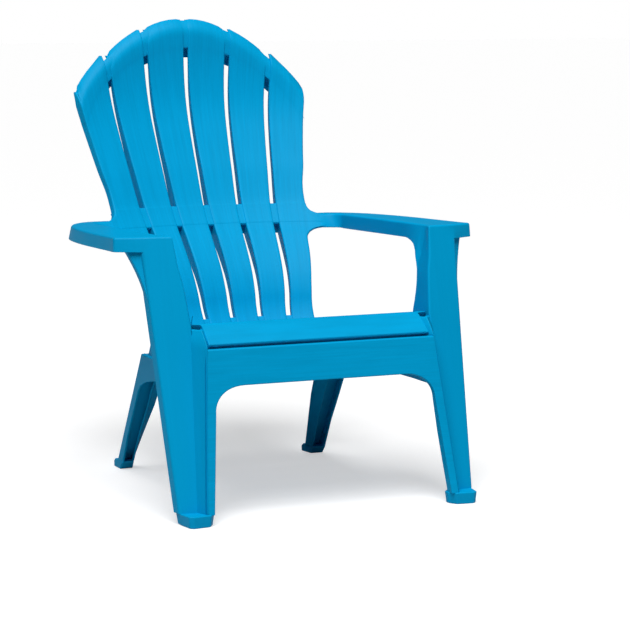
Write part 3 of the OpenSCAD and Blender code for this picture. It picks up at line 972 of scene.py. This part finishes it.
def foot_patches():
    """The block under a front leg. Its sole is drawn in all round, apart from the toe."""
    plan = [(244, 22), (256, 5), (293, 1), (301, 6), (306.5, 42), (306.5, 64), (270, 64), (244, 34)]
    upper = [(x, y, FOOT) for x, y in plan]
    middle = (278.0, 30.0)
    draw_in = 0.10
    toe_end = 20.0
    lower = [(between(x, middle[0], draw_in),
              between(y, middle[1], draw_in) if y > toe_end else y + 1.0, 0.0) for x, y in plan]
    return [upper, lower] + ring_sides(lower, upper)


for hand, mirror in HANDS:
    foot = block(f"front_foot_{hand}", foot_patches(), mirror, soft=2.2)
    fit_out(foot, X_AXIS, Z_AXIS, smooth_resin, "smooth_resin", f"front_foot_{hand}")


# --- Seat -------------------------------------------------------------------

CREST_Y = 131.0
SEAT_REAR_Y = 545.0
# The seat narrows from here on, by this much to each side per millimetre
TAPER_Y = 232.0
TAPER = 66.0 / 313.0


def seat_z(y):
    return SEAT - (y - CREST_Y) * (SEAT - SEAT_REAR) / (SEAT_REAR_Y - CREST_Y)


def seat_half(y):
    return 250.0 - max(0.0, y - TAPER_Y) * TAPER


def lip_patches():
    """The rounded front board, from behind the crest down to the fold over the apron."""
    profile = [(162, 361.5), (150, 364.0), (138, 366.3), (132, 366.8), (127, 365.8), (122, 363.4),
               (112, 356.6), (98, 346.8), (86, 338.2), (81.5, 334.0), (80.5, 331.5), (83, 329.5),
               (89, 329.0), (91.5, 326.5), (92.5, 316.0)]

    def half(y):
        return 228.5 + 2.5 * limited((131.0 - y) / 40.0) + 21.0 * limited((y - 128.0) / 4.0)

    sheet = [[(half(y) * (i / 11 - 1.0), y, z) for y, z in profile] for i in range(23)]
    ends = []
    for side in (-1.0, 1.0):
        seen = [(side * half(y), y, z) for y, z in profile[:11]]
        inward = [(x, y + 7.0, z - 13.0) for x, y, z in seen]
        ends.append([seen, inward])
    return [sheet] + ends


lip = moulded("seat_lip", lip_patches(), (0, -0.6, 1), soft=2.6, corner=40.0)
fit_out(lip, X_AXIS, Y_AXIS - Z_AXIS, grained_resin, "grained_resin", "seat_front_slat")


def seat_blank():
    """One cross board of unit size: a channel with rounded long edges."""
    radius, wall, depth = 3.0, 3.8, 20.0
    ring = [(0.0, 0.0, depth), (0.0, 0.0, radius), (0.0, radius * 0.3, radius * 0.3), (0.0, radius, 0.0),
            (0.5, 0.0, -0.6), (1.0, -radius, 0.0), (1.0, -radius * 0.3, radius * 0.3), (1.0, 0.0, radius),
            (1.0, 0.0, depth), (1.0, -wall, depth), (1.0, -wall, wall + 1.0), (1.0, -wall - 1.0, wall),
            (0.0, wall + 1.0, wall), (0.0, wall, wall + 1.0), (0.0, wall, depth)]
    stations = [-1.0 + i / 12 for i in range(25)]
    mesh = bpy.data.meshes.new("seat_blank")
    count = len(ring)
    faces = grid_faces(len(stations), count, closed=True)
    faces += end_faces(len(stations), count)
    mesh.from_pydata([(s, r[0], -r[2]) for s in stations for r in ring], [], faces)
    numbers = {"across": [s for s in stations for _ in ring]}
    for place, key in enumerate(("share", "inset", "deep")):
        numbers[key] = [r[place] for _ in stations for r in ring]
    for key, values in numbers.items():
        mesh.attributes.new(key, "FLOAT", "POINT").data.foreach_set("value", values)
    obj = bpy.data.objects.new("seat_boards", mesh)
    bpy.context.scene.collection.objects.link(obj)
    return obj


def seat_tree(sizes):
    """Repeats the cross board down the seat, which falls and narrows to the rear."""
    tree = bpy.data.node_groups.new("seat_of_boards", "GeometryNodeTree")
    add_inputs(tree, sizes)
    net = Net(tree)
    entry = net.node("NodeGroupInput")
    given = {item.name: Value(net, entry.outputs[item.name]) for item in entry.outputs if item.name}
    copies = repeated(net, given["Geometry"], given["Boards"], "board")
    board, share = stored(net, "board"), stored(net, "share")
    start = board * (given["Board"] + given["Gap"]) + given["Start"]
    y = start + share * given["Board"] + stored(net, "inset")
    fall = given["Fall"]
    half = given["Half width"] - limited((y - given["Taper start"]) / 400.0) * 400.0 * given["Taper"]
    z = given["Crest"] - (y - given["Crest place"]) * fall - stored(net, "deep")
    x = stored(net, "across") * half
    dip = 1.0 - stored(net, "across") * stored(net, "across")
    where = net.value("ShaderNodeCombineXYZ", None,
                      {"X": x * MM, "Y": y * MM + TOE, "Z": (z - dip * 2.5) * MM})
    laid = net.value("GeometryNodeSetPosition", None, {"Geometry": copies, "Position": where})
    lines = net.value("ShaderNodeCombineXYZ", None, {"X": x * MM + board, "Y": (y - z) * MM})
    grained = net.value("GeometryNodeStoreNamedAttribute",
                        {"data_type": "FLOAT_VECTOR", "domain": "POINT"},
                        {"Geometry": laid, "Name": "grain", "Value": lines})
    close_tree(net, grained, grained_resin)
    return tree


SEAT_GAP = 9.0
SEAT_START = 160.0
SEAT_BOARD = (SEAT_REAR_Y + 6.0 - SEAT_START) / 5 - SEAT_GAP
seat_sizes = {
    "Boards": 5,
    "Board": SEAT_BOARD + SEAT_GAP / 5,
    "Gap": SEAT_GAP,
    "Start": SEAT_START,
    "Crest": SEAT,
    "Crest place": CREST_Y,
    "Fall": (SEAT - SEAT_REAR) / (SEAT_REAR_Y - CREST_Y),
    "Half width": 249.0,
    "Taper start": TAPER_Y,
    "Taper": TAPER,
}
seat = from_nodes(seat_blank(), seat_tree(seat_sizes), seat_sizes)
smooth(seat, 40.0)
install(seat, grained_resin, "grained_resin", *[f"seat_slat_{i}" for i in range(1, 5)])


# --- Side rails and rear legs -----------------------------------------------

REAR_Y = 632.0
REAR_LEG_DEPTH = 34.0
# Where the rail's lower edge meets the leg
RAIL_CORNER_Y, RAIL_CORNER_Z = 473.0, 197.0
# Height up to which the channel of a rear leg widens
WIDENS_TO = 150.0


def rear_y(z):
    return REAR_Y - 0.63 * z


def rear_leg_patches():
    """A side rail and the three walls of the rear leg behind it, open to the front."""
    front = [(473, 197), (489, 182), (514, 143), (536, 110), (555, 82), (574, 47), (590, REAR_FOOT - 2.0)]
    under = [(70, 231), (150, 231), (250, 229), (330, 225), (379, 220), (441, 209)]
    rail_rear = rear_y(LEDGE)
    # The outer wall, split into the rail and the leg
    leg = [[(RAIL_X, y, z), (RAIL_X, rear_y(z), z)] for y, z in reversed(front)]
    rail_low = [(RAIL_X, y, z) for y, z in under] + [(RAIL_X, RAIL_CORNER_Y, RAIL_CORNER_Z)]
    rail_top = [(RAIL_X, y, LEDGE) for y, _ in under] + [(RAIL_X, rail_rear - 12.0, LEDGE)]
    corner = [(RAIL_X, RAIL_CORNER_Y, RAIL_CORNER_Z), (RAIL_X, rear_y(RAIL_CORNER_Z), RAIL_CORNER_Z),
              (RAIL_X, rail_rear, LEDGE), (RAIL_X, rail_rear - 12.0, LEDGE)]
    ledge = [rail_top + [(RAIL_X, rail_rear, LEDGE)],
             [(x - 9.0, y, z + 0.5) for x, y, z in rail_top] + [(RAIL_X - 9.0, rail_rear + 3.0, LEDGE)]]

    def inner_rear(z):
        return (RAIL_X - between(33.0, 58.0, limited(z / WIDENS_TO))
                - 8.0 * limited((z - WIDENS_TO) / 114.0))

    heights = [z for _, z in reversed(front)] + [LEDGE]
    back = [[(RAIL_X, rear_y(z), z), (between(RAIL_X, inner_rear(z), 0.5), rear_y(z), z),
             (inner_rear(z), rear_y(z), z)] for z in heights]
    inner = []
    for i, z in enumerate(heights):
        y = list(reversed(front))[i][0] if i < len(front) else 445.0
        x = RAIL_X - between(27.0, 34.0, limited(z / WIDENS_TO))
        inner.append([(inner_rear(z), rear_y(z), z), (x, y + 6.0, z)])
    return [leg, [rail_low, rail_top], corner, ledge, back, inner]


for hand, mirror in HANDS:
    leg = moulded(f"rail_and_rear_leg_{hand}", rear_leg_patches(), (1, 0.3, 0), mirror, soft=3.0)
    fit_out(leg, Z_AXIS, X_AXIS, smooth_resin, "smooth_resin", f"rear_leg_outer_{hand}",
            f"rear_leg_back_{hand}", f"rear_leg_inner_{hand}", f"side_rail_{hand}")


def seat_side_patches():
    """The wall from the seat's side down to the ledge, drawn in and up behind the rail."""
    behind = 440.0
    rows = []
    for y in (140.0, 180.0, TAPER_Y, 290.0, 350.0, 400.0, behind, 470.0, 500.0):
        out = RAIL_X - 6.0 - 0.5 * max(0.0, y - behind)
        low_z = LEDGE - 2.0 + 0.45 * max(0.0, y - behind)
        x, z = seat_half(y), seat_z(y)
        rows.append([(x - 8.0, y, z - 1.5), (x, y, z - 2.0),
                     (between(x, out, 0.5), y, between(z, low_z, 0.5)), (out, y, low_z)])
    return [rows]


for hand, mirror in HANDS:
    side = moulded(f"seat_side_{hand}", seat_side_patches(), (1, 0, 0), mirror, soft=3.0)
    fit_out(side, Y_AXIS, Z_AXIS, smooth_resin, "smooth_resin", f"seat_side_{hand}")


def rear_foot_patches():
    """The block under a rear leg, with its front cut away below and its heel behind the leg."""
    front = REAR_Y - REAR_LEG_DEPTH - 0.57 * REAR_FOOT
    heel = 643.0
    outline = [(front + 17.0, 0.0), (heel, 0.0), (heel + 1.0, REAR_FOOT - 6.0), (heel - 7.0, REAR_FOOT),
               (front, REAR_FOOT)]
    inner = [(between(RAIL_X - 25.5, RAIL_X - 31.5, (y - front) / 40.0), y, z) for y, z in outline]
    outer = [(RAIL_X + 0.5, y, z) for y, z in outline]
    return [inner, outer] + ring_sides(inner, outer)


for hand, mirror in HANDS:
    foot = block(f"rear_foot_{hand}", rear_foot_patches(), mirror, soft=2.0)
    fit_out(foot, X_AXIS, Z_AXIS, smooth_resin, "smooth_resin", f"rear_foot_{hand}")


# --- Studio -----------------------------------------------------------------

def studio_floor():
    """A flat pale floor. It glows to the eye only, so that it casts no extra light on the chair."""
    material = bpy.data.materials.new("studio_floor")
    material.use_nodes = True
    material.node_tree.nodes.clear()
    net = Net(material.node_tree)
    direct = net.value("ShaderNodeLightPath")
    body = net.value("ShaderNodeBsdfPrincipled", None, {
        "Base Color": (0.6, 0.6, 0.6, 1.0),
        "Roughness": 0.9,
        "Specular IOR Level": 0.0,
        "Emission Color": direct,
        "Emission Strength": 0.52,
    })
    net.node("ShaderNodeOutputMaterial", None, {"Surface": body})
    reach = 40.0
    made = bmesh.new()
    made.faces.new([made.verts.new((x, y, 0.0)) for x, y in
                    ((-reach, -reach), (reach, -reach), (reach, reach), (-reach, reach))])
    floor = as_object("studio_floor", made)
    floor.data.materials.append(material)


def soft_light(name, place, target, size, power):
    lamp = bpy.data.lights.new(name, "AREA")
    lamp.shape = "SQUARE"
    lamp.size = size
    lamp.energy = power
    obj = bpy.data.objects.new(name, lamp)
    obj.location = place
    obj.rotation_euler = (Vector(target) - Vector(place)).to_track_quat("-Z", "Y").to_euler()
    bpy.context.scene.collection.objects.link(obj)


def wide_light(energy, softness, place):
    """An even light over the whole floor, from the direction of a place."""
    lamp = bpy.data.lights.new("wide_light", "SUN")
    lamp.energy = energy
    lamp.angle = math.radians(softness)
    obj = bpy.data.objects.new("wide_light", lamp)
    obj.location = place
    obj.rotation_euler = Vector(place).to_track_quat("Z", "Y").to_euler()
    bpy.context.scene.collection.objects.link(obj)


def studio_world(seen, cast):
    """White behind the chair, with less light from all round than is seen."""
    world = bpy.data.worlds.new("studio")
    world.use_nodes = True
    tree = world.node_tree
    tree.nodes.clear()
    net = Net(tree)
    white = (1.0, 1.0, 1.0, 1.0)
    dim = net.value("ShaderNodeBackground", None, {"Color": white, "Strength": cast})
    bright = net.value("ShaderNodeBackground", None, {"Color": white, "Strength": seen})
    direct = net.value("ShaderNodeLightPath")
    mixed = net.value("ShaderNodeMixShader", None, {0: direct, 1: dim, 2: bright})
    net.node("ShaderNodeOutputWorld", None, {"Surface": mixed})
    bpy.context.scene.world = world


studio_floor()
wide_light(2.6, 40.0, (-1.1, -1.7, 3.6))
soft_light("overhead", (-0.1, -0.8, 3.4), (0.0, 0.0, 0.4), 1.4, 42.0)
studio_world(1.0, 0.06)

camera_data = bpy.data.cameras.new("camera")
camera_data.lens = 138.6
camera_data.sensor_width = 36.0
camera = bpy.data.objects.new("camera", camera_data)
camera.location = (-1.8466, -4.1527 + TOE, 0.9962)
camera.rotation_euler = (math.radians(82.38), 0.0, math.radians(-23.42))
bpy.context.scene.collection.objects.link(camera)
bpy.context.scene.camera = camera
bpy.context.scene.view_settings.view_transform = "Standard"
